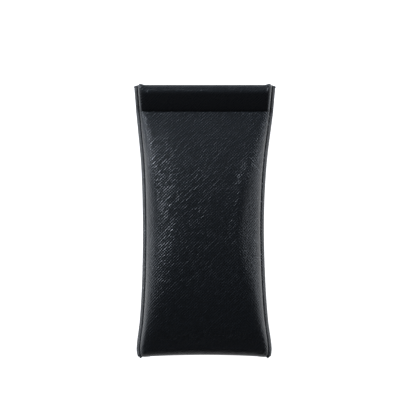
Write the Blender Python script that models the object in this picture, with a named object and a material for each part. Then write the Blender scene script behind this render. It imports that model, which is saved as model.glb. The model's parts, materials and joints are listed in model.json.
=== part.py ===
"""Squeeze-top spectacle pouch, lying on its back with its mouth towards +Y.

The pouch is two leather panels sewn along both sides and the bottom.  The top edge of each panel is
turned in as a hem, and a cambered steel strip in each hem holds the mouth straight and shut.  Squeezing
the two ends of the mouth bows the strips apart, and each panel then folds along a slanting line on each
side.  A panel is one sheet of leather in reality: here it is a main piece and two side pieces that meet
at those fold lines, so that the pouch can open.

Units are metres, +Z is up, and the origin is on the table under the middle of the pouch.
"""

import math

import bpy
from mathutils import Vector

MM = 0.001

# ---------------------------------------------------------------- driving dimensions
LENGTH = 171 * MM
LEATHER = 1.0 * MM
LINING = 0.5 * MM
CLEARANCE = 0.3 * MM

SEAM_PLANE = 13.5 * MM          # height of the two side seams above the table
SEAM_INSET = 2.3 * MM           # the back panel rolls this far onto the front
SEAM_GAP = 1.0 * MM             # groove between the back panel's rolled edge and the front panel
LIP_RISE = 2.5 * MM             # how far the rolled edge climbs to the seam
HEM = 16.4 * MM                 # depth of the hem, from the mouth to its stitching
HEM_THICK = 5.2 * MM            # one hem, from the seam plane to its outer skin
HEM_ROUND = 2.7 * MM            # the hem's rounded top edge
STITCH_LINE = LENGTH - HEM

FOLD_AT_MOUTH = 8 * MM          # the fold line's distance from the middle, at the mouth
FOLD_AT_BOTTOM = 28 * MM        # and at the bottom edge
FOLD_GAP = 1.0 * MM
SIDE_PIECES_FROM = 90 * MM      # the panels fold only above this distance from the bottom edge

STRIP_WIDTH = 10 * MM
STRIP_LENGTH = 70 * MM
STRIP_THICK = 0.3 * MM
STRIP_CAMBER = 0.8 * MM
TAPE_LENGTH = 5 * MM
TAPE_THICK = 0.3 * MM
THREAD = 0.6 * MM

# Half of the pouch's width at distances from its bottom edge.
HALF_WIDTHS = [(distance * MM, half * MM) for distance, half in (
    (0, 42.0), (6, 42.6), (24, 40.4), (50, 38.8), (85, 38.2), (120, 39.5), (150, 42.7), (171, 45.0))]

# Height of each panel's outer skin from the seam plane, along the middle of the pouch.
FRONT_HEIGHTS = [(distance * MM, height * MM) for distance, height in (
    (0, 1.8), (6, 4.4), (20, 8.4), (45, 12.2), (80, 13.6), (110, 12.0), (135, 7.8), (150, 4.2), (154.6, 3.3))]
BACK_HEIGHTS = [(distance * MM, height * MM) for distance, height in (
    (0, 1.8), (6, 4.6), (20, 9.0), (40, 13.6), (80, 15.2), (110, 13.6), (135, 8.6), (150, 4.4), (154.6, 3.3))]

# How square a section across the pouch is: 2 is an ellipse, and the flat hem is nearly a rectangle.
SQUARENESS = [(distance * MM, power) for distance, power in (
    (0, 7.0), (30, 3.6), (80, 2.7), (125, 3.6), (154, 12.0), (171, 14.0))]


# ---------------------------------------------------------------- shape of the pouch
def smooth_through(stations, at):
    """The value at a place on the smooth curve through (place, value) stations."""
    at = min(max(at, stations[0][0]), stations[-1][0])
    last = len(stations) - 1
    k = next(i for i in range(last) if at <= stations[i + 1][0])
    (x0, y0), (x1, y1) = stations[k], stations[k + 1]

    def slope(i):
        before, after = stations[max(i - 1, 0)], stations[min(i + 1, last)]
        return (after[1] - before[1]) / (after[0] - before[0])

    span = x1 - x0
    t = (at - x0) / span
    return (y0 * (2 * t**3 - 3 * t**2 + 1) + slope(k) * span * (t**3 - 2 * t**2 + t)
            + y1 * (3 * t**2 - 2 * t**3) + slope(k + 1) * span * (t**3 - t**2))


def half_width(up):
    return smooth_through(HALF_WIDTHS, up)


def seam_at(up):
    """Distance of the side seams from the middle."""
    return half_width(up) - SEAM_INSET


def fold_at(up):
    """Distance of the fold lines from the middle."""
    return FOLD_AT_BOTTOM + (FOLD_AT_MOUTH - FOLD_AT_BOTTOM) * up / LENGTH


def skin_height(stations, up):
    """Height of a panel's skin from the seam plane, where the hem swells above its stitching."""
    if up <= STITCH_LINE:
        return smooth_through(stations, up)
    share = (up - STITCH_LINE) / (LENGTH - HEM_ROUND - STITCH_LINE)
    return stations[-1][1] + (HEM_THICK - stations[-1][1]) * math.sin(min(share, 1) * math.pi / 2) ** 0.5


def section(share, power):
    """Height across a section, from 1 in the middle to 0 at its side."""
    return max(1 - min(share, 1) ** power, 0) ** (1 / 2.2)


def front_point(x, up, inset=0.0):
    """A point of the front panel's skin, or of a surface inset from it."""
    side = seam_at(up) - SEAM_GAP / 2 - inset
    height = (skin_height(FRONT_HEIGHTS, up) - inset) * section(abs(x) / side, smooth_through(SQUARENESS, up))
    return Vector((x, up - LENGTH / 2, SEAM_PLANE + height))


def back_point(x, up, inset=0.0):
    """The same for the back panel, below its widest line, where the table flattens it."""
    depth = skin_height(BACK_HEIGHTS, up)
    rise = lip_rise(up)
    side = half_width(up) - inset
    height = (depth - rise - inset) * section(abs(x) / side, smooth_through(SQUARENESS, up))
    return Vector((x, up - LENGTH / 2, max(SEAM_PLANE - rise - height, inset)))


def lip_rise(up):
    return min(LIP_RISE, 0.45 * skin_height(BACK_HEIGHTS, up))


def rolled_edge_point(side, angle, up):
    """A point of the back panel's edge, rolled up from the widest line to the seam."""
    inner = seam_at(up) + SEAM_GAP / 2
    reach = half_width(up) - inner
    rise = lip_rise(up)
    return Vector((side * (inner + reach * math.cos(angle)), up - LENGTH / 2,
                   SEAM_PLANE - rise + rise * math.sin(angle)))


# ---------------------------------------------------------------- sheets
ROWS = [step * MM for step in (0, 3, 8, 16, 28, 42, 58, 74)]
ROWS += [SIDE_PIECES_FROM - FOLD_GAP / 2, SIDE_PIECES_FROM + FOLD_GAP / 2]
ROWS += [step * MM for step in (104, 118, 130, 140, 148)]
ROWS += [STITCH_LINE + share * (HEM - HEM_ROUND) for share in (0, 0.12, 0.3, 0.55, 0.8, 1)]
BODY_ROWS = len(ROWS)
TURN_ANGLES = [math.radians(angle) for angle in (30, 60, 90, 120, 150, 180)]
INNER_ROWS = [LENGTH - HEM_ROUND - share * (HEM - HEM_ROUND - CLEARANCE) for share in (0.35, 0.7, 1)]

CENTRE_SHARES = (0, 0.5, 1)
SIDE_SHARES = (0, 0.35, 0.62, 0.82, 0.93, 0.985, 1)
EDGE_ANGLES = [math.radians(angle) for angle in (30, 60, 90)]
SEAM_COLUMNS = 2                # the inner turn of the hem stops this many cells short of the side seams


def columns(limit):
    """Places across one half of a panel as functions of the distance from the bottom edge."""
    centre = [lambda up, s=s: s * (fold_at(up) - FOLD_GAP / 2) for s in CENTRE_SHARES]

    def outside(up, s):
        start = fold_at(up) + FOLD_GAP / 2
        return start + s * (limit(up) - start)

    return centre + [lambda up, s=s: outside(up, s) for s in SIDE_SHARES]


def turned(point, inner_skin, angle):
    """The hem's rounded top: from the outer skin at angle 0 over the top to the inner skin at 180 degrees."""
    middle = (point.z + inner_skin) / 2
    return Vector((point.x, point.y + HEM_ROUND * math.sin(angle),
                   middle + (point.z - middle) * math.cos(angle)))


def panel_points(surface, limit, inner_skin, rolled):
    """Rows of points over a whole panel: up the outer skin, over the mouth and down inside the hem."""
    places = columns(limit)
    sides = [(-1, k) for k in range(len(places) - 1, 0, -1)] + [(1, k) for k in range(len(places))]
    rows = []
    for up in ROWS:
        row = [surface(side * places[k](up), up) for side, k in sides]
        if rolled:
            left = [rolled_edge_point(-1, angle, up) for angle in reversed(EDGE_ANGLES)]
            right = [rolled_edge_point(1, angle, up) for angle in EDGE_ANGLES]
            row = left + row + right
        rows.append(row)
    top = rows[-1]
    for angle in TURN_ANGLES:
        rows.append([turned(point, inner_skin, angle) for point in top])
    for up in INNER_ROWS:
        rows.append([Vector((point.x, up - LENGTH / 2, inner_skin)) for point in top])
    return rows


def add_mesh(name, points, faces, material):
    mesh = bpy.data.meshes.new(name)
    mesh.from_pydata([tuple(point) for point in points], [], faces)
    mesh.materials.append(material)
    obj = bpy.data.objects.new(name, mesh)
    bpy.context.collection.objects.link(obj)
    return obj


def add_sheet(name, rows, keep, thickness, material, facing_up):
    """A closed sheet over the kept cells of a grid of points, thickened away from its outer skin."""
    wanted = [(r, c) for r in range(len(rows) - 1) for c in range(len(rows[0]) - 1) if keep(r, c)]
    used, points, faces = {}, [], []
    for r, c in wanted:
        corners = [(r, c), (r, c + 1), (r + 1, c + 1), (r + 1, c)]
        for corner in corners:
            if corner not in used:
                used[corner] = len(points)
                points.append(rows[corner[0]][corner[1]])
        face = [used[corner] for corner in corners]
        faces.append(face if facing_up else face[::-1])
    obj = add_mesh(name, points, faces, material)
    solidify = obj.modifiers.new("thickness", "SOLIDIFY")
    solidify.thickness = thickness
    solidify.offset = -1
    solidify.use_even_offset = True
    obj.data.shade_smooth()
    obj.data.set_sharp_from_angle(angle=math.radians(35))
    return obj


def add_panel(name, rows, material, facing_up, parents):
    """A panel as its main piece and the two side pieces beyond its fold lines."""
    width = len(rows[0])
    middle = (width - 1) // 2
    fold_inner = len(CENTRE_SHARES) - 1
    fold_outer = fold_inner + 1
    reach = fold_outer + len(SIDE_SHARES) - 1
    split_row = ROWS.index(SIDE_PIECES_FROM - FOLD_GAP / 2)
    over_the_top = BODY_ROWS - 1 + len(TURN_ANGLES) // 2

    def beside(c):
        """Columns from the middle to the cell's inner edge."""
        return c - middle if c >= middle else middle - 1 - c

    def in_sheet(r, c):
        if r < BODY_ROWS - 1:
            return True
        return beside(c) < (reach if r < over_the_top else reach - SEAM_COLUMNS)

    def main(r, c):
        return in_sheet(r, c) and (r < split_row or beside(c) < fold_inner)

    def side_piece(sign):
        def keep(r, c):
            on_side = c >= middle if sign > 0 else c < middle
            return in_sheet(r, c) and r > split_row and on_side and beside(c) >= fold_outer
        return keep

    made = [
        add_sheet(f"{name}_main", rows, main, LEATHER, material, facing_up),
        add_sheet(f"{name}_left_side", rows, side_piece(-1), LEATHER, material, facing_up),
        add_sheet(f"{name}_right_side", rows, side_piece(1), LEATHER, material, facing_up),
    ]
    for obj, parent in zip(made, parents):
        attach(obj, parent)


def add_lining(name, surface, facing_up, material, parent):
    """A thin bag half inside a panel, from near the bottom seam to just below the hem's inner turn."""
    inset = LEATHER + 0.5 * MM
    heights = [3 * MM] + [up for up in ROWS if 5 * MM < up < 151 * MM] + [151.5 * MM]
    shares = [-0.97, -0.92, -0.82, -0.62, -0.35, 0, 0.35, 0.62, 0.82, 0.92, 0.97]
    rows = [[surface(share * (seam_at(up) - SEAM_GAP / 2 - inset), up, inset) for share in shares]
            for up in heights]
    attach(add_sheet(name, rows, lambda r, c: True, LINING, material, facing_up), parent)


# ---------------------------------------------------------------- springs, tapes and threads
def camber(across):
    """Height of a strip's curved section at a share from -1 to 1 across its width."""
    return STRIP_CAMBER * (1 - across**2)


def strip_face(x, across, sign, lift):
    """A point at a height above the inner face of a cambered strip lying in the front (+1) or back (-1) hem."""
    up = LENGTH - HEM_ROUND - (HEM - HEM_ROUND) / 2 + 0.9 * MM + across * STRIP_WIDTH / 2
    base = CLEARANCE + LEATHER + 0.7 * MM
    return Vector((x, up - LENGTH / 2, SEAM_PLANE + sign * (base + camber(across) + lift)))


def add_strip(name, sign, material, parent):
    """A steel strip with rounded corners, curved across its width like a tape measure."""
    corner = 3 * MM
    half = STRIP_LENGTH / 2
    shares = [k / 6 - 1 for k in range(13)]
    places = [-half, -half + 1 * MM, -half + corner, -half / 2, 0, half / 2, half - corner, half - 1 * MM, half]

    def narrowed(x):
        inward = max(abs(x) - (half - corner), 0) / corner
        return 1 - 0.35 * inward**2

    rows = [[strip_face(x, share * narrowed(x), sign, 0.0) for x in places] for share in shares]
    obj = add_sheet(name, rows, lambda r, c: True, STRIP_THICK, material, sign < 0)
    attach(obj, parent)


def add_end_tape(name, side, sign, material, parent):
    """A tape folded round the end of a strip, with its two legs on the strip's faces."""
    gap = 0.15 * MM
    end = STRIP_LENGTH / 2 + gap + TAPE_THICK
    outer = TAPE_THICK + gap
    radius = (STRIP_THICK + 2 * outer) / 2
    route = [(end - TAPE_LENGTH, -outer), (end - radius, -outer)]
    route += [(end - radius + radius * math.sin(math.radians(turn)),
               STRIP_THICK / 2 - radius * math.cos(math.radians(turn))) for turn in (30, 60, 90, 120, 150)]
    route += [(end - radius, STRIP_THICK + outer), (end - TAPE_LENGTH, STRIP_THICK + outer)]
    shares = [k / 4 - 1 for k in range(9)]
    rows = [[strip_face(side * x, share * 0.92, sign, lift) for share in shares] for x, lift in route]
    obj = add_sheet(name, rows, lambda r, c: True, TAPE_THICK, material, side * sign > 0)
    attach(obj, parent)


def add_thread(name, route, material, parent):
    """A sewing thread as a round tube along its route."""
    curve = bpy.data.curves.new(name, "CURVE")
    curve.dimensions = "3D"
    curve.bevel_depth = THREAD / 2
    curve.bevel_resolution = 1
    curve.use_fill_caps = True
    spline = curve.splines.new("POLY")
    spline.points.add(len(route) - 1)
    for knot, place in zip(spline.points, route):
        knot.co = (*place, 1)
    curve.materials.append(material)
    obj = bpy.data.objects.new(name, curve)
    bpy.context.collection.objects.link(obj)
    attach(obj, parent)


def hem_stitch_route(surface, sign):
    """Along the groove at the bottom of a hem, just proud of the leather."""
    reach = 0.93 * seam_at(STITCH_LINE)
    places = [reach * (k / 12 - 1) for k in range(25)]
    lift = Vector((0, 0, sign * (THREAD / 2 + 0.15 * MM)))
    return [surface(x, STITCH_LINE - 0.4 * MM) + lift for x in places]


def side_seam_route(side):
    """Inside the pouch along a side seam, from the bottom to the hem."""
    inward = SEAM_GAP / 2 + LEATHER + 1.2 * MM
    heights = [(8 + 16 * k) * MM for k in range(10)]
    return [Vector((side * (seam_at(up) - inward), up - LENGTH / 2, SEAM_PLANE - 0.2 * MM)) for up in heights]


def bottom_seam_route():
    """Inside the pouch along its bottom edge."""
    places = [(4.5 * k - 36) * MM for k in range(17)]
    return [Vector((x, 1.4 * MM - LENGTH / 2, SEAM_PLANE)) for x in places]


# ---------------------------------------------------------------- materials and joints
def finish(name, colour, roughness, metallic=0.0):
    material = bpy.data.materials.new(name)
    material.use_nodes = True
    shader = material.node_tree.nodes["Principled BSDF"]
    shader.inputs["Base Color"].default_value = (*colour, 1)
    shader.inputs["Roughness"].default_value = roughness
    shader.inputs["Metallic"].default_value = metallic
    return material


def add_pivot(name, place, parent=None):
    pivot = bpy.data.objects.new(name, None)
    pivot.empty_display_size = 5 * MM
    bpy.context.collection.objects.link(pivot)
    pivot.location = place
    if parent:
        attach(pivot, parent)
    return pivot


def attach(obj, parent):
    """Makes obj a child of an empty on a joint's axis without moving it."""
    if parent is None:
        return
    bpy.context.view_layer.update()
    obj.parent = parent
    obj.matrix_parent_inverse = parent.matrix_world.inverted()


def main():
    for obj in list(bpy.data.objects):
        bpy.data.objects.remove(obj)

    leather = finish("embossed_black_leather", (0.012, 0.013, 0.015), 0.42)
    steel = finish("spring_steel", (0.55, 0.56, 0.58), 0.3, 1.0)
    fabric = finish("lining_fabric", (0.02, 0.02, 0.022), 0.9)
    tape = finish("end_tape", (0.08, 0.08, 0.08), 0.7)
    thread = finish("black_thread", (0.01, 0.01, 0.01), 0.6)

    bottom_seam = add_pivot("bottom_seam_axis", (0, -LENGTH / 2, SEAM_PLANE))
    mouth_fold = Vector((FOLD_AT_MOUTH, LENGTH / 2, SEAM_PLANE))
    back_left = add_pivot("back_left_fold_axis", mouth_fold * Vector((-1, 1, 1)))
    back_right = add_pivot("back_right_fold_axis", mouth_fold)
    front_left = add_pivot("front_left_fold_axis", mouth_fold * Vector((-1, 1, 1)), bottom_seam)
    front_right = add_pivot("front_right_fold_axis", mouth_fold, bottom_seam)

    front_rows = panel_points(front_point, lambda up: seam_at(up) - SEAM_GAP / 2,
                              SEAM_PLANE + CLEARANCE, rolled=False)
    back_rows = panel_points(back_point, half_width, SEAM_PLANE - CLEARANCE, rolled=True)
    add_panel("front_panel", front_rows, leather, True, (bottom_seam, front_left, front_right))
    add_panel("back_panel", back_rows, leather, False, (None, back_left, back_right))
    add_lining("front_lining", front_point, True, fabric, bottom_seam)
    add_lining("back_lining", back_point, False, fabric, None)

    for name, sign, parent, ends in (("front", 1, bottom_seam, (front_left, front_right)),
                                     ("back", -1, None, (back_left, back_right))):
        add_strip(f"{name}_spring_strip", sign, steel, parent)
        add_end_tape(f"{name}_strip_tape_left", -1, sign, tape, ends[0])
        add_end_tape(f"{name}_strip_tape_right", 1, sign, tape, ends[1])
    add_thread("front_hem_stitching", hem_stitch_route(front_point, 1), thread, bottom_seam)
    add_thread("back_hem_stitching", hem_stitch_route(back_point, -1), thread, None)
    add_thread("left_seam_thread", side_seam_route(-1), thread, None)
    add_thread("right_seam_thread", side_seam_route(1), thread, None)
    add_thread("bottom_seam_thread", bottom_seam_route(), thread, None)


main()
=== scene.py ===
"""Looks of a squeeze-top spectacle pouch, sewn from cross-hatch embossed black leather.

The pouch lies on its back with its mouth towards +Y.  Each wall is one leather panel with a lining, and
its top edge is turned in as a hem that holds a steel strip.  The two walls are sewn together along both
sides and the bottom.  A wall bends about a slanting line on each side when the mouth opens, so every soft
piece of it is built as a left and a right half; the halves are not bent between the wall's two bodies.

Lengths are millimetres up to the point where a mesh is made, and metres from there on.
"""

import json
import logging
import math
from dataclasses import dataclass
from enum import Enum

import bpy
import numpy as np
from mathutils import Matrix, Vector

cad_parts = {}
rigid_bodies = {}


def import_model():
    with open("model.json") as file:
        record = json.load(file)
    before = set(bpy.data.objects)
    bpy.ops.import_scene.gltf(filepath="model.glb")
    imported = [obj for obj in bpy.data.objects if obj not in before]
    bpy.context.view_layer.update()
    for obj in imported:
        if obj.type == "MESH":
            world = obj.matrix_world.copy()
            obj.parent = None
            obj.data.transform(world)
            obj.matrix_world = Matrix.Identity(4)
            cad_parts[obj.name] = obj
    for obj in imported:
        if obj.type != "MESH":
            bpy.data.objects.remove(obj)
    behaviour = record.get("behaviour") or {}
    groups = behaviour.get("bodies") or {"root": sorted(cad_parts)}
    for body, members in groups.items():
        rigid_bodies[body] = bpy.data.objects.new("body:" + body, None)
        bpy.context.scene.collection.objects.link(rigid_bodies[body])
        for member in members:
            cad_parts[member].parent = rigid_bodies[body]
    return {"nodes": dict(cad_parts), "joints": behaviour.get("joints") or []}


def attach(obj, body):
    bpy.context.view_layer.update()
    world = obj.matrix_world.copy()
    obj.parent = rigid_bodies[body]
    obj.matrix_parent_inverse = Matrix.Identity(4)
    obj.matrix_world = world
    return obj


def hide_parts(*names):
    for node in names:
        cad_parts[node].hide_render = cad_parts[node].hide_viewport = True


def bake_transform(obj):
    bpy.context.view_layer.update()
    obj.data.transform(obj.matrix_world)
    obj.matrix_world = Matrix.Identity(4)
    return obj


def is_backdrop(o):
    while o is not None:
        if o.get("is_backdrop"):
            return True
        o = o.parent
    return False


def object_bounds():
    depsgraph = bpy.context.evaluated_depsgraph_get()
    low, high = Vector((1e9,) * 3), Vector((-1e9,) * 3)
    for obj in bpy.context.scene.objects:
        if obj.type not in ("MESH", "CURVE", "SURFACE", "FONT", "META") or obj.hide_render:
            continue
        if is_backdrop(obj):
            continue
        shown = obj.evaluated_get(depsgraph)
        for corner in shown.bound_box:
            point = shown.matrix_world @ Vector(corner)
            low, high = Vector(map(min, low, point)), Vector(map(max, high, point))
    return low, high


log = logging.getLogger("pouch")

MM = 0.001
FLAT_MAP = "flat_pattern"  # the UV map that holds each sheet's own flat pattern, in metres
WAVE_PERIOD = 2 * math.pi / 20  # of Blender's band wave at scale 1
SHARP_ANGLE = math.radians(62)
Pair = tuple[float, float]
Stations = tuple[Pair, ...]
Triple = tuple[float, float, float]
Array = np.ndarray
Material = bpy.types.Material
Object = bpy.types.Object
Tree = bpy.types.NodeTree
Socket = bpy.types.NodeSocket


class Labelled(Enum):
    """A choice whose name is also part of the names of nodes and bodies."""

    @property
    def label(self) -> str:
        """The name, as nodes and bodies have it."""
        return self.name.lower()


class Wall(Labelled):
    """The two walls of the pouch, and which way each one bulges from the seam plane."""

    FRONT = 1
    BACK = -1


class Side(Labelled):
    """The two halves of a wall, and which way each one lies from the middle."""

    LEFT = -1
    RIGHT = 1


# ---- small helpers
def smooth_through(stations: Stations, at: Array) -> Array:
    """Reads values off the smooth curve through (place, value) stations, level beyond both ends."""
    places, values = np.array(stations, float).T
    last = len(places) - 1
    before = np.maximum(np.arange(last + 1) - 1, 0)
    after = np.minimum(np.arange(last + 1) + 1, last)
    slopes = (values[after] - values[before]) / (places[after] - places[before])
    at = np.clip(at, places[0], places[-1])
    k = np.clip(np.searchsorted(places, at) - 1, 0, last - 1)
    span = places[k + 1] - places[k]
    t = (at - places[k]) / span
    return (
        values[k] * (2 * t**3 - 3 * t**2 + 1)
        + slopes[k] * span * (t**3 - 2 * t**2 + t)
        + values[k + 1] * (3 * t**2 - 2 * t**3)
        + slopes[k + 1] * span * (t**3 - t**2)
    )


def smooth_step(start: float, end: float, at: Array) -> Array:
    """A share that rises smoothly from 0 at start to 1 at end."""
    t = np.clip((at - start) / (end - start), 0, 1)
    return t * t * (3 - 2 * t)


def linear(colour: str) -> tuple[float, float, float, float]:
    """Turns an sRGB hex colour, with its leading #, into linear red, green, blue and a full alpha."""
    parts = [int(colour[k : k + 2], 16) / 255 for k in (1, 3, 5)]
    red, green, blue = (p / 12.92 if p <= 0.04045 else ((p + 0.055) / 1.055) ** 2.4 for p in parts)
    return red, green, blue, 1.0


# ---- node helpers
def named(values: dict) -> dict:
    """Turns keyword arguments into socket names, with a space for each _ and capital letters."""
    return {key.replace("_", " ").title(): value for key, value in values.items()}


def add_node(tree: Tree, kind: str, inputs: dict | None = None, **settings: object) -> bpy.types.Node:
    """Adds a node of a kind, with its own settings, to a tree.

    Args:
        tree: the material's or the geometry's node tree.
        kind: the node's type name.
        inputs: a value, or an output socket to link from, for each input by name or by number.
        **settings: the node's own properties.

    Returns:
        The new node.
    """
    node = tree.nodes.new(kind)
    for name, value in settings.items():
        setattr(node, name, value)
    for key, value in (inputs or {}).items():
        socket = node.inputs[key]
        if isinstance(value, Socket):
            tree.links.new(value, socket)
        else:
            socket.default_value = value
    return node


def worked_out(tree: Tree, operation: str, *values: object) -> Socket:
    """Adds a math node on these values and gives its result."""
    return add_node(tree, "ShaderNodeMath", dict(enumerate(values)), operation=operation).outputs[0]


def ranged(tree: Tree, value: Socket, **ends: float) -> Socket:
    """Adds a map range from a value and gives its result."""
    return add_node(tree, "ShaderNodeMapRange", {"Value": value, **named(ends)}).outputs["Result"]


def mapped(tree: Tree, place: Socket, **moves: tuple) -> Socket:
    """Adds a mapping of a place and gives the new place."""
    return add_node(tree, "ShaderNodeMapping", {"Vector": place, **named(moves)}).outputs["Vector"]


def noise(tree: Tree, place: Socket, **inputs: float) -> Socket:
    """Adds a noise over a place and gives its value."""
    return add_node(tree, "ShaderNodeTexNoise", {"Vector": place, **named(inputs)}).outputs["Fac"]


def bands(tree: Tree, place: Socket, spacing: float, direction: str = "X", **inputs: float) -> Socket:
    """Adds parallel bands, with their spacing in the place's own unit, and gives their height from 0 to 1."""
    inputs = {"Vector": place, "Scale": WAVE_PERIOD / spacing, **named(inputs)}
    return add_node(tree, "ShaderNodeTexWave", inputs, bands_direction=direction).outputs["Fac"]


def blended(tree: Tree, share: Socket, low: str, high: str) -> Socket:
    """Adds a mix of two sRGB hex colours and gives its result."""
    inputs = {"Factor": share, "A": linear(low), "B": linear(high)}
    return add_node(tree, "ShaderNodeMix", inputs, data_type="RGBA").outputs["Result"]


def bumped(tree: Tree, height: Socket, depth: float, **inputs: Socket) -> Socket:
    """Adds a bump with its depth in millimetres, and gives its normal."""
    inputs = {"Height": height, "Distance": depth * MM, **named(inputs)}
    return add_node(tree, "ShaderNodeBump", inputs).outputs["Normal"]


def flat_place(tree: Tree) -> Socket:
    """A place on a sheet's own flat pattern, in millimetres."""
    plan = add_node(tree, "ShaderNodeUVMap", uv_map=FLAT_MAP).outputs["UV"]
    return mapped(tree, plan, scale=(1 / MM, 1 / MM, 1 / MM))


def object_place(tree: Tree) -> Socket:
    """A place in a piece's own coordinates, in metres."""
    return add_node(tree, "ShaderNodeTexCoord").outputs["Object"]


def new_material(name: str) -> tuple[Material, Tree]:
    """An empty node material and its tree."""
    material = bpy.data.materials.new(name)
    material.use_nodes = True
    material.node_tree.nodes.clear()
    return material, material.node_tree


def coated(material: Material, inputs: dict) -> Material:
    """Puts a principled shader with these inputs on a material and gives the material."""
    tree = material.node_tree
    shader = add_node(tree, "ShaderNodeBsdfPrincipled", inputs)
    add_node(tree, "ShaderNodeOutputMaterial", {"Surface": shader.outputs["BSDF"]})
    return material


# ---- finishes
@dataclass(frozen=True)
class EmbossedLeather:
    """Split leather with a black polyurethane finish, embossed with a fine diagonal cross-hatch.

    The hatch breaks a highlight into short bright strokes, along whichever of its two directions lies
    across the light.  The strokes are set a little wider apart than on a real pouch, so that they stay
    separate when the whole pouch is seen.  The base colour paints light as well: lighter on the hatch's
    ridges as a painted highlight, and near black in its grooves as painted shade.
    """

    # painted shade in the hatch's grooves, and a painted highlight on its ridges
    groove_shade_colour: str = "#020203"
    ridge_colour: str = "#23282d"
    pitch: float = 1.3
    slant: float = 45.0
    depth: float = 0.19
    falling_share: float = 0.75
    falling_shift: float = 37.0
    waviness: float = 0.8
    stroke_stretch: Triple = (0.8, 0.26, 1)
    # patches where the strokes are lower, so their painted highlight is weaker there
    stroke_break_patches: Pair = (0.32, 0.62)
    stroke_break_height: float = 0.4
    grain_scale: float = 2.6
    grain_share: float = 0.35
    gloss_roughness: float = 0.2
    groove_roughness: float = 0.46
    pressed: Pair = (0.6, 11.0)
    pressed_fade: Pair = (1.0, 2.5)
    # also paints the hem's face darker, as painted shade
    pressed_share: float = 0.3

    def material(self) -> Material:
        """Builds the leather's shader on the panel's own flat map, so that the hatch follows the skin."""
        material, tree = new_material("embossed_black_leather")
        flat = flat_place(tree)
        rising = self.strokes(tree, flat, self.slant, 0.0)
        falling = self.strokes(tree, flat, -self.slant, self.falling_shift)
        falling = worked_out(tree, "MULTIPLY", falling, self.falling_share)
        hatch = worked_out(tree, "MAXIMUM", rising, falling)
        grain = noise(tree, flat, scale=self.grain_scale, detail=2.0)
        relief = worked_out(tree, "MULTIPLY_ADD", grain, self.grain_share, hatch)
        # left flattens the hem's emboss; through shade it also paints the hem darker, as painted shade
        left = self.left_by_pressing(tree, flat)
        # shade mixes the two colours: painted highlight on the ridges, painted shade in the grooves
        shade = worked_out(tree, "MULTIPLY", hatch, left)
        surface = {
            "Base Color": blended(tree, shade, self.groove_shade_colour, self.ridge_colour),
            "Roughness": ranged(tree, hatch, to_min=self.groove_roughness, to_max=self.gloss_roughness),
            "Normal": bumped(tree, relief, self.depth, strength=left),
            "IOR": 1.5,
        }
        return coated(material, surface)

    def left_by_pressing(self, tree: Tree, flat: Socket) -> Socket:
        """The share of the emboss that is left: less on the hem's face, which is glued and pressed flat.

        The same share also paints the hem's colour darker, as painted shade.  The flat map's millimetres are
        counted from the hem's stitching.
        """
        from_stitching = add_node(tree, "ShaderNodeSeparateXYZ", {"Vector": flat}).outputs["Y"]
        (start, end), (fade_in, fade_out) = self.pressed, self.pressed_fade
        into = ranged(tree, from_stitching, from_min=start - fade_in, from_max=start)
        out = ranged(tree, from_stitching, from_min=end, from_max=end + fade_out)
        inside = worked_out(tree, "SUBTRACT", into, out)
        return ranged(tree, inside, to_min=1.0, to_max=self.pressed_share)

    def strokes(self, tree: Tree, flat: Socket, slant: float, shift: float) -> Socket:
        """Height of parallel embossed strokes, from 0 to 1, broken along their length.

        The slant is in degrees, and the shift moves the pattern, so that two directions don't match.
        """
        turned = mapped(tree, flat, rotation=(0, 0, math.radians(slant)), location=(shift, shift, 0))
        even = bands(tree, turned, self.pitch, distortion=self.waviness, detail=1.0, detail_scale=0.8)
        patches = noise(tree, mapped(tree, turned, scale=self.stroke_stretch), scale=1.0, detail=1.0)
        start, end = self.stroke_break_patches
        broken = ranged(tree, patches, from_min=start, from_max=end, to_min=self.stroke_break_height)
        return worked_out(tree, "MULTIPLY", even, broken)


@dataclass(frozen=True)
class BrushedLining:
    """Warp-knitted polyester, brushed on its face: matt, dark, with a soft sheen at a low angle."""

    colour: str = "#1d1e21"
    tip_colour: str = "#2b2d31"
    wale: float = 0.9
    wale_share: float = 0.35
    brushed: Triple = (2.2, 0.7, 1)
    nap_depth: float = 0.12

    def material(self) -> Material:
        """Builds the nap from knitted wales under a streaky noise."""
        material, tree = new_material("brushed_knit_lining")
        flat = flat_place(tree)
        wales = bands(tree, flat, self.wale, distortion=0.8, detail=2.0)
        nap = noise(tree, mapped(tree, flat, scale=self.brushed), scale=1.0, detail=4.0)
        relief = worked_out(tree, "MULTIPLY_ADD", wales, self.wale_share, nap)
        surface = {
            "Base Color": blended(tree, nap, self.colour, self.tip_colour),
            "Roughness": 0.92,
            "Normal": bumped(tree, relief, self.nap_depth),
            "Sheen Weight": 0.25,
            "Sheen Roughness": 0.5,
        }
        return coated(material, surface)


@dataclass(frozen=True)
class SpringSteel:
    """Cold-rolled, hardened spring steel strip: mid-grey, with rolling marks along its length."""

    colour: str = "#a7a9ab"
    mark_spacing: float = 0.25
    mark_stretch: float = 40.0
    mark_depth: float = 0.01
    roughness: Pair = (0.22, 0.42)

    def material(self) -> Material:
        """Builds the rolling marks as a noise drawn out along X."""
        material, tree = new_material("rolled_spring_steel")
        scale = 1 / (self.mark_spacing * MM)
        drawn_out = mapped(tree, object_place(tree), scale=(scale / self.mark_stretch, scale, scale))
        marks = noise(tree, drawn_out, scale=1.0, detail=3.0)
        polished, marked = self.roughness
        surface = {
            "Base Color": linear(self.colour),
            "Metallic": 1.0,
            "Roughness": ranged(tree, marks, to_min=polished, to_max=marked),
            "Normal": bumped(tree, marks, self.mark_depth),
        }
        return coated(material, surface)


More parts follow.
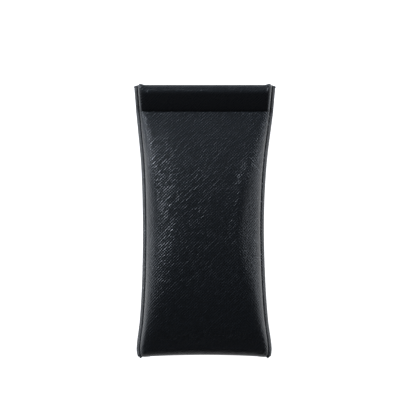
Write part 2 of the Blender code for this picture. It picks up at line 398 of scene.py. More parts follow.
@dataclass(frozen=True)
class WovenTape:
    """Plain-woven cotton tape, charcoal, which pads the ends of a steel strip."""

    colour: str = "#2a2a2c"
    yarn_colour: str = "#3d3d40"
    yarn: float = 0.45
    depth: float = 0.12

    def material(self) -> Material:
        """Builds the weave from two crossing sets of yarns."""
        material, tree = new_material("woven_cotton_tape")
        place = object_place(tree)
        warp, weft = (bands(tree, place, self.yarn * MM, direction) for direction in "XY")
        weave = worked_out(tree, "MULTIPLY", warp, weft)
        surface = {
            "Base Color": blended(tree, weave, self.colour, self.yarn_colour),
            "Roughness": 0.85,
            "Normal": bumped(tree, weave, self.depth),
        }
        return coated(material, surface)


@dataclass(frozen=True)
class TwistedThread:
    """Bonded polyester sewing thread: black, three plies twisted together, with a slight gloss."""

    colour: str = "#141517"
    ply_colour: str = "#26282b"
    twist: float = 0.55
    depth: float = 0.05

    def material(self) -> Material:
        """Builds the twist as slanting bands in every direction that a stitch can lie."""
        material, tree = new_material("twisted_black_thread")
        plies = bands(tree, object_place(tree), self.twist * MM, "DIAGONAL")
        surface = {
            "Base Color": blended(tree, plies, self.colour, self.ply_colour),
            "Roughness": 0.5,
            "Normal": bumped(tree, plies, self.depth),
        }
        return coated(material, surface)


# ---- shape of the pouch
@dataclass(frozen=True)
class Fold:
    """A soft ridge or dent in a leather skin, along a line that fades out at both ends."""

    line: Stations
    height: float
    width: float
    fade_power: float = 0.6
    pieces_per_knot: int = 8

    def lift(self, x: Array, up: Array) -> Array:
        """Height that the fold adds, at x to the right of the middle and up from the bottom edge."""
        knots = np.arange(len(self.line), dtype=float)
        fine = np.linspace(0, len(self.line) - 1, self.pieces_per_knot * len(self.line))
        line_x, line_up = (smooth_through(tuple(zip(knots, values)), fine) for values in zip(*self.line))
        nearest = np.full(x.shape, np.inf)
        share = np.zeros(x.shape)
        for k in range(len(fine) - 1):
            step = np.array([line_x[k + 1] - line_x[k], line_up[k + 1] - line_up[k]])
            t = ((x - line_x[k]) * step[0] + (up - line_up[k]) * step[1]) / (step @ step)
            t = np.clip(t, 0, 1)
            distance = np.hypot(x - line_x[k] - t * step[0], up - line_up[k] - t * step[1])
            closer = distance < nearest
            nearest = np.where(closer, distance, nearest)
            share = np.where(closer, (k + t) / (len(fine) - 1), share)
        fade = np.sin(np.pi * share) ** self.fade_power
        return self.height * fade * np.exp(-((nearest / self.width) ** 2))


@dataclass(frozen=True)
class PouchForm:
    """Every measure of the pouch's outside, in millimetres, with up counted from the bottom edge."""

    length: float
    seam_plane: float

    seam_inset: float = 2.3
    front_inset: float = 0.2
    groove: float = 0.5
    lip_rise: float = 2.5
    roll_power: float = 1.6
    hem: float = 16.4
    hem_height: float = 5.5
    hem_crest: float = 12.0
    hem_round: float = 4.4
    inner_round: float = 2.7
    hem_turn_below: float = 2.0
    slit: float = 0.3
    stitch_height: float = 3.3
    stitch_pull: float = 0.2
    pull_reach: float = 0.6
    hem_overhang: float = 0.55
    corner_round: float = 1.6
    bottom_round: float = 5.5
    corner_radius: float = 1.6
    bottom_bow: float = 1.5
    nub_height: float = 0.8
    nub_inset: float = 4.6
    seam_curl: float = 1.35
    seam_gap: float = 0.05
    seam_flap: float = 4.0
    seam_tuck: float = 2.5
    tuck_from: Pair = (6.0, 22.0)
    tuck_fade: float = 5.0
    roundness: float = 2.2
    closing_power: float = 2.4
    low_side_share: float = 0.45
    table_round: float = 0.35
    fold_fade: float = 6.0
    bow_half_width: float = 42.0
    bow_reach: float = 22.0
    nub_width: float = 1.7
    corner_drop: float = 0.5
    drop_run: Pair = (1.0, 4.6)
    mouth_reach: float = 7.0
    overhang_reach: float = 0.35
    overhang_end: Pair = (0.95, 0.995)
    overhang_rise: Pair = (1.0, 1.8)

    lean: Stations = ((0, 0.1), (45, -0.2), (90, -0.4), (130, 0.0), (155, 0.4), (171, 0.5))
    half_widths: Stations = (
        (0, 42.0), (6, 42.6), (24, 40.4), (50, 38.8), (85, 38.2), (120, 39.5), (150, 42.7), (171, 45.0),
    )
    front_heights: Stations = (
        (0, 3.4), (6, 4.6), (20, 8.4), (45, 12.2), (80, 13.6), (110, 12.0), (135, 7.8), (150, 4.2),
        (154.6, 3.3),
    )
    back_heights: Stations = (
        (0, 3.4), (6, 4.8), (20, 9.0), (40, 13.6), (80, 15.2), (110, 13.6), (135, 8.6), (150, 4.4),
        (154.6, 3.3),
    )
    squareness: Stations = (
        (0, 12.0), (12, 11.0), (30, 7.5), (50, 4.8), (80, 3.0), (102, 4.2), (120, 7.5), (140, 11.0),
        (153, 26.0), (156, 45.0), (163, 45.0), (171, 14.0),
    )

    front_folds: tuple[Fold, ...] = (
        # The right-hand edge of the flat front slants in from the mouth's corner, with a hollow inside it.
        Fold(
            ((40, 151), (35.6, 137), (29.6, 121), (25.4, 106), (23, 90), (22, 74), (24, 58), (29, 42)),
            0.8, 4.4,
        ),
        Fold(((33, 147), (25, 130), (17.5, 112), (14.5, 95), (13, 78), (15, 62), (20, 46)), -0.3, 6.5),
        Fold(((38, 130), (34.5, 110), (32, 90), (31, 70), (32.5, 50)), -0.3, 4.0),
        # The left-hand edge stays close to the seam.
        Fold(
            ((-40.5, 150), (-38, 138), (-36, 128), (-34, 112), (-32, 98), (-30.5, 84), (-30.5, 66),
             (-32, 50)),
            0.5, 3.6,
        ),
        Fold(((-34, 149), (-29, 136), (-26, 124), (-24.5, 110), (-24, 94)), -0.45, 5.5),
        # Small creases where the bottom corners turn.
        Fold(((-40.2, 0.5), (-38.6, 7), (-37.2, 16), (-36.3, 28), (-35.6, 42)), 0.9, 1.5),
        Fold(((40.2, 0.5), (38.8, 8), (37.6, 17), (36.6, 28)), 0.7, 1.6),
    )
    back_folds: tuple[Fold, ...] = (
        Fold(((-40, 150), (-35, 134), (-30, 118), (-26, 100), (-24, 82)), 0.9, 3.8),
        Fold(((39, 151), (35.5, 136), (32, 120), (30, 104), (29, 88)), 0.8, 3.6),
        Fold(((-40.5, 2), (-37.5, 8), (-33, 15)), 0.7, 1.8),
        Fold(((40.5, 2), (37, 8), (34, 14)), 0.6, 1.8),
    )

    @property
    def stitch_line(self) -> float:
        """Distance of the hem's stitching from the bottom edge."""
        return self.length - self.hem

    @property
    def crest(self) -> float:
        """Distance of the hem's highest line from the bottom edge, where its rounded top starts."""
        return self.stitch_line + self.hem_crest

    def half_width(self, up: Array) -> Array:
        """Half of the pouch's width, with rounded bottom corners."""
        from_corner = np.clip(self.corner_radius - up, 0, self.corner_radius)
        rounded = self.corner_radius - np.sqrt(self.corner_radius**2 - from_corner**2)
        return smooth_through(self.half_widths, up) - rounded

    def seam_at(self, up: Array) -> Array:
        """Distance of the side seams from the middle."""
        return self.half_width(up) - self.seam_inset

    def reach(self, wall: Wall, up: Array) -> Array:
        """Distance from the middle to the steepest line at a panel's side."""
        return self.seam_at(up) - self.front_inset if wall is Wall.FRONT else self.half_width(up)

    def height(self, wall: Wall, up: Array) -> Array:
        """Height of a wall's skin from the seam plane along the middle."""
        stations = self.front_heights if wall is Wall.FRONT else self.back_heights
        open_share = np.clip(1 - up / self.bottom_round, 0, 1)
        closing = (1 - open_share**self.closing_power) ** (1 / self.roundness)
        body = smooth_through(stations, up) * closing
        into_hem = np.clip(up - self.stitch_line, 0, self.hem_crest) / self.hem_crest
        hem = (self.hem_height - self.stitch_height) * into_hem**0.5
        pulled = self.stitch_pull * np.exp(-(((up - self.stitch_line) / self.pull_reach) ** 2))
        return body + hem - pulled

    def side_height(self, wall: Wall, up: Array) -> Array:
        """Height from the seam plane of the steepest line at a panel's side."""
        most = self.seam_curl if wall is Wall.FRONT else self.lip_rise
        return np.minimum(most, self.low_side_share * self.height(wall, up))

    def folds(self, wall: Wall) -> tuple[Fold, ...]:
        """The soft ridges and dents of a wall."""
        return self.front_folds if wall is Wall.FRONT else self.back_folds

    def skin(
        self, wall: Wall, side: Side, share: Array, up: Array, inset: float = 0.0
    ) -> tuple[Array, Array]:
        """A place on a wall's face, or on a surface inset from it.

        Args:
            wall: the front or the back.
            side: which half, for the folds.
            share: 0 in the middle to 1 at the steepest line of the side.
            up: distance from the bottom edge.
            inset: how far inside the skin.

        Returns:
            The distance from the middle, and the height from the seam plane.
        """
        x = share * (self.reach(wall, up) - inset)
        base = np.maximum(self.side_height(wall, up) - inset * (wall is Wall.BACK), self.seam_gap)
        top = np.maximum(self.height(wall, up) - inset, base)
        power = smooth_through(self.squareness, up)
        height = base + (top - base) * np.maximum(1 - share**power, 0) ** (1 / self.roundness)
        lift = sum(fold.lift(side.value * x, up) for fold in self.folds(wall))
        below_hem = 1 - smooth_step(self.stitch_line - self.fold_fade, self.stitch_line, up)
        height = height + lift * (1 - share**6) * below_hem
        if wall is Wall.BACK:  # the skin flattens where it lies on the table
            depth = self.seam_plane - inset - height
            height = self.seam_plane - inset - (depth + np.sqrt(depth**2 + self.table_round**2)) / 2
        return x, height

    def place(self, wall: Wall, side: Side, x: Array, up: Array, height: Array) -> Array:
        """Turns measures on a wall into points in metres, moved a little as sewing moves them.

        Args:
            wall: the front or the back.
            side: which half.
            x: distance from the middle.
            up: distance from the bottom edge.
            height: height from the seam plane, towards the outside.
        """
        inward = 1 - np.clip(x / self.bow_half_width, 0, 1) ** 2
        bow = self.bottom_bow * inward * np.exp(-up / self.bow_reach)
        near_top = smooth_step(self.length - self.mouth_reach, self.length, up)
        nub_at = self.half_width(np.full_like(x, self.length)) - self.nub_inset
        nub = self.nub_height * np.exp(-(((x - nub_at) / self.nub_width) ** 2)) * near_top
        drop_start, drop_end = self.drop_run
        drop = self.corner_drop * smooth_step(nub_at + drop_start, nub_at + drop_end, x) * near_top
        into_hem = np.clip(up - self.stitch_line, 0, None) / self.overhang_reach
        within = 1 - smooth_step(*self.overhang_end, x / self.half_width(up))
        within = within * smooth_step(*self.overhang_rise, height)
        overhang = self.hem_overhang * into_hem * np.exp(1 - into_hem) * within
        y = up - self.length / 2 + bow + nub - drop - overhang
        z = self.seam_plane + wall.value * height
        lean = smooth_through(self.lean, up)
        return np.stack([side.value * x + lean, y, z], axis=-1) * MM


# ---- meshes
def linked(name: str, data: bpy.types.ID) -> Object:
    """Makes an object of a mesh, a light or a camera, and puts it in the scene."""
    obj = bpy.data.objects.new(name, data)
    bpy.context.scene.collection.objects.link(obj)
    return obj


def sheet_object(
    name: str,
    points: Array,
    flat: Array,
    keep: Array | None,
    flip: bool,
    thickness: float,
    material: Material,
) -> Object:
    """Makes a closed sheet, with its thickness applied, over the kept cells of a grid of points.

    Args:
        name: the piece's name.
        points: rows by columns by 3, the outer skin in metres.
        flat: rows by columns by 2, the flat pattern in metres.
        keep: which cells of the grid belong to the sheet, or None for all.
        flip: turns the faces round, so that they point outwards.
        thickness: the sheet's thickness in millimetres, away from the outer skin.
        material: its finish.
    """
    rows, columns, _ = points.shape
    row, column = np.nonzero(np.ones((rows - 1, columns - 1)) if keep is None else keep)
    first = row * columns + column
    corners = np.stack([first, first + 1, first + columns + 1, first + columns], 1)
    if flip:
        corners = corners[:, ::-1]
    used, faces = np.unique(corners, return_inverse=True)
    faces = faces.reshape(corners.shape)
    mesh = bpy.data.meshes.new(name)
    mesh.from_pydata(points.reshape(-1, 3)[used].tolist(), [], faces.tolist())
    layer = mesh.uv_layers.new(name=FLAT_MAP)
    layer.data.foreach_set("uv", flat.reshape(-1, 2)[corners.reshape(-1)].astype(np.float32).ravel())
    mesh.materials.append(material)
    obj = linked(name, mesh)
    solidify = obj.modifiers.new("thickness", "SOLIDIFY")
    solidify.thickness = thickness * MM
    solidify.offset = -1
    return settle(obj)


def settle(obj: Object) -> Object:
    """Applies an object's modifiers and shades it smooth, with its cut edges sharp."""
    graph = bpy.context.evaluated_depsgraph_get()
    done = obj.evaluated_get(graph)
    made = bpy.data.meshes.new_from_object(done, preserve_all_data_layers=True, depsgraph=graph)
    obj.modifiers.clear()
    obj.data = made
    made.name = obj.name
    made.shade_smooth()
    made.set_sharp_from_angle(angle=SHARP_ANGLE)
    return obj


def lengths_along(points: Array, axis: int) -> Array:
    """Length run so far along one axis of a grid of points."""
    steps = np.linalg.norm(np.diff(points, axis=axis), axis=-1)
    start = np.zeros_like(np.take(steps, [0], axis=axis))
    return np.concatenate([start, np.cumsum(steps, axis=axis)], axis=axis)


@dataclass(frozen=True)
class SideBend:
    """Measures of the bend of a half of a wall between the wall's body and its side body.

    The bend follows a line from the bottom corner to the mouth, because along it the two walls turn
    alike and the side seam stays shut.
    """

    at_bottom: float = 42.0
    at_mouth: float = 8.0
    before: float = 4.0
    after: float = 10.0

    def apply(self, obj: Object, form: PouchForm, wall: Wall, side: Side) -> None:
        """Bakes the transform of a piece, a mesh with no parent, into its mesh; it doesn't blend it across
        the bend.
        """
        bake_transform(obj)


@dataclass(frozen=True)
class WallSheet:
    """A sheet of one wall, made as two halves."""

    form: PouchForm
    wall: Wall
    material: Material

    def half(self, bend: SideBend, side: Side, kind: str, grid: tuple, thickness: float) -> Object:
        """Makes one half from its points, flat pattern and covered cells, and bakes its transform."""
        name = f"{self.wall.label}_{kind}_{side.label}"
        flip = self.wall.value * side.value < 0
        piece = sheet_object(name, *grid, flip, thickness, self.material)
        bend.apply(piece, self.form, self.wall, side)
        log.info("%s: %d faces", name, len(piece.data.polygons))
        return piece


@dataclass(frozen=True)
class LeatherPanel(WallSheet):
    """One wall's leather panel: belly, stitched hem, rounded mouth edge, inner turn and sewn edges."""

    thickness: float = 0.9
    wall_room: float = 1.6
    face_columns: int = 54
    row_step: float = 0.9
    flat_width: float = 56.0
    flat_length: float = 196.0

    def rows(self) -> Array:
        """Distances of the outer skin's rows from the bottom edge, closest where the skin curves most."""
        form = self.form
        stitched = form.stitch_line
        bottom = 6 * (np.arange(13) / 12) ** 2
        belly = np.arange(6 + self.row_step, stitched - 4, self.row_step)
        pulled_in = np.arange(stitched - 4, stitched - 0.2, 0.4)
        overhang = stitched + np.array([0, 0.1, 0.2, 0.35, 0.5, 0.75, 1.0, 1.4, 1.8, 2.3, 3.0])
        hem = np.linspace(stitched + 4, form.crest, 10)
        return np.concatenate([bottom, belly, pulled_in, overhang, hem])

    def section(self, side: Side, up: float) -> tuple[Array, Array]:
        """One row of the outer skin: the face in even steps, the curl or roll into the seam, and its flap.

        Returns:
            The distances from the middle, and the heights from the seam plane.
        """
        form, wall = self.form, self.wall
        share = np.sin(np.linspace(0, math.pi / 2, 240))
        x, height = form.skin(wall, side, share, np.full_like(share, up))
        run = np.concatenate([[0], np.cumsum(np.hypot(np.diff(x), np.diff(height)))])
        even = np.linspace(0, run[-1], self.face_columns)
        x, height = np.interp(even, run, x), np.interp(even, run, height)
        turn = np.radians(np.linspace(12, 90, 8))
        if wall is Wall.FRONT:
            radius = height[-1] - form.seam_gap
            curl_x = x[-1] - radius + radius * np.cos(turn)
            curl_height = height[-1] - radius * np.sin(turn)
        else:
            inner = float(form.seam_at(np.array(up))) + form.groove
            curl_x = inner + (x[-1] - inner) * np.cos(turn).clip(0) ** form.roll_power
            curl_height = height[-1] - (height[-1] - form.seam_gap) * np.sin(turn) ** form.roll_power
        flap_x = curl_x[-1] - np.linspace(0, form.seam_flap, 5)[1:]
        flap_height = np.full_like(flap_x, curl_height[-1])
        if wall is Wall.FRONT:
            tuck = np.array([1, 2, 3]) / 3
            past_mouth = smooth_step(form.crest - form.tuck_fade, form.crest, up)
            held = smooth_step(*form.tuck_from, up) * (1 - past_mouth)
            tucked = curl_height[-1] - form.seam_tuck * held * tuck
            flap_x = np.concatenate([curl_x[-1] - 0.1 * tuck, flap_x])
            flap_height = np.concatenate([tucked, np.full_like(flap_height, tucked[-1])])
        return np.concatenate([x, curl_x, flap_x]), np.concatenate([height, curl_height, flap_height])

    def grid(self, side: Side) -> tuple[Array, Array, Array]:
        """The panel's half as a grid of points, its flat pattern, and the cells that it covers."""
        form = self.form
        rows = self.rows()
        sections = [self.section(side, up) for up in rows]
        x = np.array([s[0] for s in sections])
        height = np.array([s[1] for s in sections])
        up = np.repeat(rows[:, None], x.shape[1], axis=1)
        outer_rows = len(rows)

        # Over the mouth edge each column turns in from the outer skin, tighter at the corners.
        out_x, out_height = x[-1], height[-1]
        widest = out_x.max()
        at_corner = smooth_step(0.9, 1.0, out_x / widest)
        mouth_round = form.hem_round - (form.hem_round - form.corner_round) * at_corner
        mouth_round[self.face_columns :] = form.corner_round
        stretch = 1 + (form.hem_round - mouth_round) / form.hem_crest
        up = np.where(up > form.stitch_line, form.stitch_line + (up - form.stitch_line) * stretch, up)
        in_x = out_x * (widest - self.wall_room) / widest
        in_height = np.full_like(out_x, form.slit)
        if self.wall is Wall.BACK:
            rolled = np.arange(len(out_x)) >= self.face_columns
            in_x = np.where(rolled, np.minimum(out_x - 0.3, widest - self.wall_room), in_x)
            in_height = np.where(rolled, out_height + 0.9, in_height)
        middle_x, middle_height = (out_x + in_x) / 2, (out_height + in_height) / 2
        top = form.crest + form.hem_round
        turns = []
        for angle in np.radians(np.arange(10, 181, 10)):
            rise = mouth_round if angle <= math.pi / 2 else np.minimum(mouth_round, form.inner_round)
            over_x = middle_x + (out_x - middle_x) * math.cos(angle)
            over_height = middle_height + (out_height - middle_height) * math.cos(angle)
            turns.append((over_x, over_height, top - rise * (1 - math.sin(angle))))
        turned_from = top - form.inner_round
        for share in np.linspace(0, 1, 14)[1:]:
            inner_up = turned_from + share * (form.stitch_line - form.hem_turn_below - turned_from)
            narrower = form.half_width(np.array(inner_up)) / form.half_width(np.array(form.length))
            turns.append((in_x * narrower, in_height, np.full_like(out_x, inner_up)))
        x, height, up = (np.vstack([was, *new]) for was, new in zip((x, height, up), zip(*turns)))

        points = form.place(self.wall, side, x, up, height)
        across = lengths_along(points, 1) * side.value
        run = lengths_along(points[:, :1], 0)
        run -= run[int(np.argmin(np.abs(rows - form.stitch_line)))]
        along = np.repeat(run, x.shape[1], axis=1)
        keep = np.ones((points.shape[0] - 1, points.shape[1] - 1), bool)
        keep[outer_rows - 1 :, self.face_columns + 7 :] = False
        return points, np.stack([across, along], axis=-1), keep

    def build(self, bend: SideBend) -> None:
        """Makes both halves and hides the CAD panel parts that they replace."""
        for side in Side:
            piece = self.half(bend, side, "leather", self.grid(side), self.thickness)
            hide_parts(f"{self.wall.label}_panel_main", f"{self.wall.label}_panel_{side.label}_side")


@dataclass(frozen=True)
class Lining(WallSheet):
    """One wall's lining, from the bottom seam up to where the hem's stitching catches it."""

    thickness: float = 0.5
    inside: float = 1.15
    under_hem_height: float = 1.75
    tuck: float = 3.0
    columns: int = 40
    flat_width: float = 46.0
    flat_length: float = 162.0

    def build(self, bend: SideBend) -> None:
        """Makes both halves and hides the CAD lining that they replace."""
        form = self.form
        rows = np.concatenate([[2.0, 2.6, 3.6, 5.0], np.arange(7, form.stitch_line + self.tuck, 1.6)])
        share = np.sin(np.linspace(0, 1, self.columns) * math.pi / 2 * 0.94)
        for side in Side:
            up = np.repeat(rows[:, None], self.columns, axis=1)
            x, height = form.skin(self.wall, side, np.repeat(share[None], len(rows), axis=0), up, self.inside)
            under_hem = smooth_step(form.stitch_line - 1, form.stitch_line + 1, up)
            height = height + (self.under_hem_height - height) * under_hem
            points = form.place(self.wall, side, x, up, height)
            across = lengths_along(points, 1) * side.value
            along = np.repeat(lengths_along(points[:, :1], 0), self.columns, axis=1)
            grid = points, np.stack([across, along], axis=-1), None
            piece = self.half(bend, side, "lining", grid, self.thickness)
            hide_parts(f"{self.wall.label}_lining")


@dataclass(frozen=True)
class SpringStrip(WallSheet):
    """The cambered steel strip in a hem, with rounded ends, as two halves."""

    half_length: float = 35.0
    width: float = 10.0
    thickness: float = 0.3
    camber: float = 0.8
    corner: float = 3.0
    inner_face: float = 2.0
    up_middle: float = 162.35

    def build(self, bend: SideBend) -> None:
        """Makes both halves and hides the CAD strip that they replace."""
        straight = np.linspace(0, self.half_length - self.corner, 30)
        rounded = self.half_length - self.corner * (1 - np.linspace(0, 1, 9)[1:]) ** 1.6
        x_row = np.concatenate([straight, rounded])
        across = np.linspace(-1, 1, 15)
        x, share = np.meshgrid(x_row, across)
        inward = np.clip(x - (self.half_length - self.corner), 0, self.corner) / self.corner
        share = share * (1 - 0.35 * inward**2)
        height = self.inner_face + self.camber * (1 - share**2)
        up = self.up_middle + share * self.width / 2
        for side in Side:
            z = self.form.seam_plane + self.wall.value * (height + self.thickness)
            points = np.stack([side.value * x, up - self.form.length / 2, z], axis=-1) * MM
            flat = np.stack([side.value * x, up], axis=-1) * MM
            piece = self.half(bend, side, "spring_strip", (points, flat, None), self.thickness)
            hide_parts(f"{self.wall.label}_spring_strip")


# ---- stitching
class StitchTree:
    """A Geometry Nodes tree that lays one stitch after another along a route."""

    INPUTS = (("Pitch", 3.1 * MM), ("Stitch Length", 2.6 * MM), ("Thread Width", 0.5 * MM), ("Wander", 0.06))

    def __init__(self, thread: Material, seed: int = 7) -> None:
        """Builds the tree, with the stitches' finish and a seed that fixes how they wander."""
        self.tree = bpy.data.node_groups.new("stitches_along_a_route", "GeometryNodeTree")
        face = self.tree.interface
        face.new_socket("Geometry", in_out="INPUT", socket_type="NodeSocketGeometry")
        self.identifiers = {}
        for name, value in self.INPUTS:
            socket = face.new_socket(name, in_out="INPUT", socket_type="NodeSocketFloat")
            socket.default_value = value
            self.identifiers[name] = socket.identifier
        face.new_socket("Geometry", in_out="OUTPUT", socket_type="NodeSocketGeometry")
        self.wire(thread, seed)

    def wire(self, thread: Material, seed: int) -> None:
        """Links the nodes, from a route to its stitches."""
        tree = self.tree

        def made(kind: str, output: str, inputs: dict | None = None, **settings: object) -> Socket:
            return add_node(tree, kind, inputs, **settings).outputs[output]

        given = add_node(tree, "NodeGroupInput").outputs
        route = made("GeometryNodeMeshToCurve", "Curve", {"Mesh": given["Geometry"]})
        every = {"Curve": route, "Length": given["Pitch"]}
        spaced = made("GeometryNodeResampleCurve", "Curve", every, mode="LENGTH")
        tangent = made("GeometryNodeInputTangent", "Tangent")
        span = {"Min": (-1, -1, -1), "Max": (1, 1, 1), "Seed": seed}
        drawn = made("FunctionNodeRandomValue", "Value", span, data_type="FLOAT_VECTOR")
        stray = {0: drawn, "Scale": given["Wander"]}
        wander = made("ShaderNodeVectorMath", "Vector", stray, operation="SCALE")
        heading = made("ShaderNodeVectorMath", "Vector", {0: tangent, 1: wander}, operation="ADD")
        turned = made("FunctionNodeAlignRotationToVector", "Rotation", {"Vector": heading}, axis="X")
        bead = made("GeometryNodeMeshUVSphere", "Mesh", {"Segments": 10, "Rings": 8, "Radius": 0.5})
        width = given["Thread Width"]
        size = made("ShaderNodeCombineXYZ", "Vector", {"X": given["Stitch Length"], "Y": width, "Z": width})
        stitch = made("GeometryNodeTransform", "Geometry", {"Geometry": bead, "Scale": size})
        each = {"Points": spaced, "Instance": stitch, "Rotation": turned}
        laid = made("GeometryNodeInstanceOnPoints", "Instances", each)
        solid = made("GeometryNodeRealizeInstances", "Geometry", {"Geometry": laid})
        smooth = made("GeometryNodeSetShadeSmooth", "Geometry", {"Geometry": solid})
        dressed = made("GeometryNodeSetMaterial", "Geometry", {"Geometry": smooth, "Material": thread})
        add_node(tree, "NodeGroupOutput", {"Geometry": dressed})

    def sew(self, name: str, routes: list[Array], **sizes: float) -> Object:
        """Lays stitches along routes, each a row of points in metres, as one mesh.

        Args:
            name: the piece's name.
            routes: the routes.
            **sizes: values for the tree's inputs, by name with _ for a space.
        """
        points, edges = [], []
        for route in routes:
            edges += [(len(points) + k, len(points) + k + 1) for k in range(len(route) - 1)]
            points += route.tolist()
        mesh = bpy.data.meshes.new(name)
        mesh.from_pydata(points, edges, [])
        obj = linked(name, mesh)
        modifier = obj.modifiers.new("stitches", "NODES")
        modifier.node_group = self.tree
        for key, value in named(sizes).items():
            modifier[self.identifiers[key]] = value
        graph = bpy.context.evaluated_depsgraph_get()
        made = bpy.data.meshes.new_from_object(obj.evaluated_get(graph), depsgraph=graph)
        obj.modifiers.clear()
        obj.data = made
        return obj


@dataclass(frozen=True)
class Stitching:
    """All of the pouch's sewing: the hems' topstitching, both side seams and the bottom seam."""

    form: PouchForm
    tree: StitchTree
    thread_width: float = 0.5
    side_inset: float = 3.0
    side_height: float = 1.0
    bottom_inset: float = 2.4
    bottom_half: float = 35.0

    def hem_route(self, wall: Wall, side: Side) -> Array:
        """Along the groove under a hem, from near the middle to near the side seam."""
        form = self.form
        share = np.linspace(0.012, 0.955, 60)
        up = np.full_like(share, form.stitch_line)
        x, height = form.skin(wall, side, share, up)
        return form.place(wall, side, x, up, height + 0.3 * self.thread_width)

    def inner_route(self, wall: Wall, side: Side) -> Array:
        """The same row of stitches on the inner turn, where it shows in the open mouth."""
        form = self.form
        x = np.linspace(0.5, 0.94 * float(form.reach(wall, np.array(form.stitch_line))), 40)
        up = np.full_like(x, form.stitch_line)
        return form.place(wall, side, x, up, np.full_like(x, form.slit - 0.02))

    def side_route(self, side: Side) -> Array:
        """Along a side seam's flaps, inside the pouch."""
        form = self.form
        up = np.linspace(4, form.stitch_line - 3, 80)
        x = form.seam_at(up) - self.side_inset
        return form.place(Wall.BACK, side, x, up, np.full_like(x, self.side_height))

    def build(self, bend: SideBend) -> None:
        """Sews every seam, attaches the bottom seam to the back wall's body, and hides the CAD threads."""
        made = []
        for wall in Wall:
            for side in Side:
                routes = [self.hem_route(wall, side), self.inner_route(wall, side)]
                name = f"{wall.label}_hem_stitches_{side.label}"
                piece = self.tree.sew(name, routes, thread_width=self.thread_width * MM)
                bend.apply(piece, self.form, wall, side)
                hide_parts(f"{wall.label}_hem_stitching")
                made.append(piece)
        for side in Side:
            piece = self.tree.sew(f"{side.label}_seam_stitches", [self.side_route(side)])
            bend.apply(piece, self.form, Wall.BACK, side)
            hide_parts(f"{side.label}_seam_thread")
            made.append(piece)
        x = np.linspace(-self.bottom_half, self.bottom_half, 60)
        up = np.full_like(x, self.bottom_inset)
        points = self.form.place(Wall.BACK, Side.RIGHT, np.abs(x), up, np.zeros_like(x))
        points[:, 0] = x * MM
        piece = self.tree.sew("bottom_seam_stitches", [points])
        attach(piece, "back_wall")
        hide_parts("bottom_seam_thread")
        made.append(piece)
        for piece in made:
            log.info("%s: %d faces", piece.name, len(piece.data.polygons))


# ---- studio
@dataclass(frozen=True)
class SoftLight:
    """A rectangular soft light aimed at the pouch, placed and sized in metres."""

    name: str
    place: Triple
    size: Pair
    power: float
    colour: str = "#e9f2ff"

    def build(self) -> None:
        """Makes the light, facing the origin."""
        lamp = bpy.data.lights.new(self.name, "AREA")
        lamp.color = linear(self.colour)[:3]
        lamp.shape = "RECTANGLE"
        lamp.size, lamp.size_y = self.size
        lamp.energy = self.power
        obj = linked(self.name, lamp)
        obj.location = self.place
        obj.rotation_euler = (-Vector(self.place)).to_track_quat("-Z", "Y").to_euler()


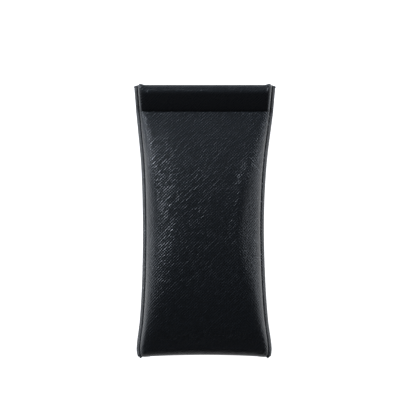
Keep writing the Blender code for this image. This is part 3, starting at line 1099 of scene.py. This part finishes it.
@dataclass(frozen=True)
class Studio:
    """A pale floor, four soft lights and a camera that looks straight down."""

    seam_plane: float
    lights: tuple[SoftLight, ...] = (
        SoftLight("upper_left_light", (-0.64, 0.51, 0.31), (0.32, 0.24), 8.7),
        SoftLight("upper_right_light", (0.63, 0.52, 0.31), (0.32, 0.24), 4.2),
        SoftLight("low_left_light", (-0.80, -0.20, 0.10), (0.20, 0.50), 1.3),
        SoftLight("low_right_light", (0.80, -0.12, 0.10), (0.20, 0.50), 1.2),
    )
    floor_colour: str = "#f7f7f7"
    floor_glow: float = 1.1
    floor_reach: float = 3.0
    floor_drop: float = 0.05
    world_colour: str = "#ffffff"
    world_strength: float = 0.04
    view_width: float = 261.3
    aim: Pair = (2.5, 8.3)
    camera_height: float = 1000.0
    sensor: float = 36.0

    def build(self) -> None:
        """Sets up everything that isn't part of the pouch."""
        self.add_floor()
        for light in self.lights:
            light.build()
        world = bpy.data.worlds.new("studio")
        world.use_nodes = True
        tree = world.node_tree
        tree.nodes.clear()
        glow = {"Color": linear(self.world_colour), "Strength": self.world_strength}
        sky = add_node(tree, "ShaderNodeBackground", glow)
        add_node(tree, "ShaderNodeOutputWorld", {"Surface": sky.outputs["Background"]})
        bpy.context.scene.world = world
        bpy.context.scene.view_settings.view_transform = "Standard"
        self.add_camera()

    def add_floor(self) -> None:
        """A large pale floor, just under the pouch."""
        material, _ = new_material("pale_floor")
        surface = {
            "Base Color": linear(self.floor_colour),
            "Roughness": 0.9,
            "Emission Color": linear(self.floor_colour),
            "Emission Strength": self.floor_glow,
        }
        mesh = bpy.data.meshes.new("floor")
        reach = self.floor_reach
        corners = [(-reach, -reach, 0), (reach, -reach, 0), (reach, reach, 0), (-reach, reach, 0)]
        mesh.from_pydata(corners, [], [(0, 1, 2, 3)])
        mesh.materials.append(coated(material, surface))
        floor = linked("floor", mesh)
        floor.location.z = -self.floor_drop * MM
        floor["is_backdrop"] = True

    def add_camera(self) -> None:
        """A camera straight above the pouch, with its mouth at the top of the view."""
        lens = bpy.data.cameras.new("camera")
        lens.sensor_width = self.sensor
        lens.lens = self.sensor * (self.camera_height - self.seam_plane) / self.view_width
        lens.clip_end = 20
        camera = linked("camera", lens)
        camera.location = Vector((*self.aim, self.camera_height)) * MM
        bpy.context.scene.camera = camera


def dress_end_tapes(frame: dict, tape: Material) -> None:
    """Gives the tapes on the strips' ends their woven finish."""
    for wall in Wall:
        for side in Side:
            node = frame["nodes"][f"{wall.label}_strip_tape_{side.label}"]
            node.data.materials.clear()
            node.data.materials.append(tape)


def main() -> None:
    """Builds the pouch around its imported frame, then the studio."""
    logging.basicConfig(level=logging.INFO, format="%(name)s: %(message)s")
    for obj in list(bpy.data.objects):  # whatever the startup scene holds
        bpy.data.objects.remove(obj)
    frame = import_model()
    cad_box = [list(corner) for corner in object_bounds()]

    low, high = (np.array(corner) for corner in cad_box)
    hinge = next(joint for joint in frame["joints"] if joint["name"] == "mouth_opening")
    form = PouchForm(length=float(high[1] - low[1]) / MM, seam_plane=hinge["pos_m"][2] / MM)
    log.info("pouch %.1f mm long, seams %.1f mm above the table", form.length, form.seam_plane)

    leather = EmbossedLeather().material()
    cloth = BrushedLining().material()
    steel = SpringSteel().material()
    bend = SideBend()
    for wall in Wall:
        LeatherPanel(form, wall, leather).build(bend)
        Lining(form, wall, cloth).build(bend)
        SpringStrip(form, wall, steel).build(bend)
    Stitching(form, StitchTree(TwistedThread().material())).build(bend)
    dress_end_tapes(frame, WovenTape().material())
    Studio(form.seam_plane).build()


if __name__ == "__main__":
    main()
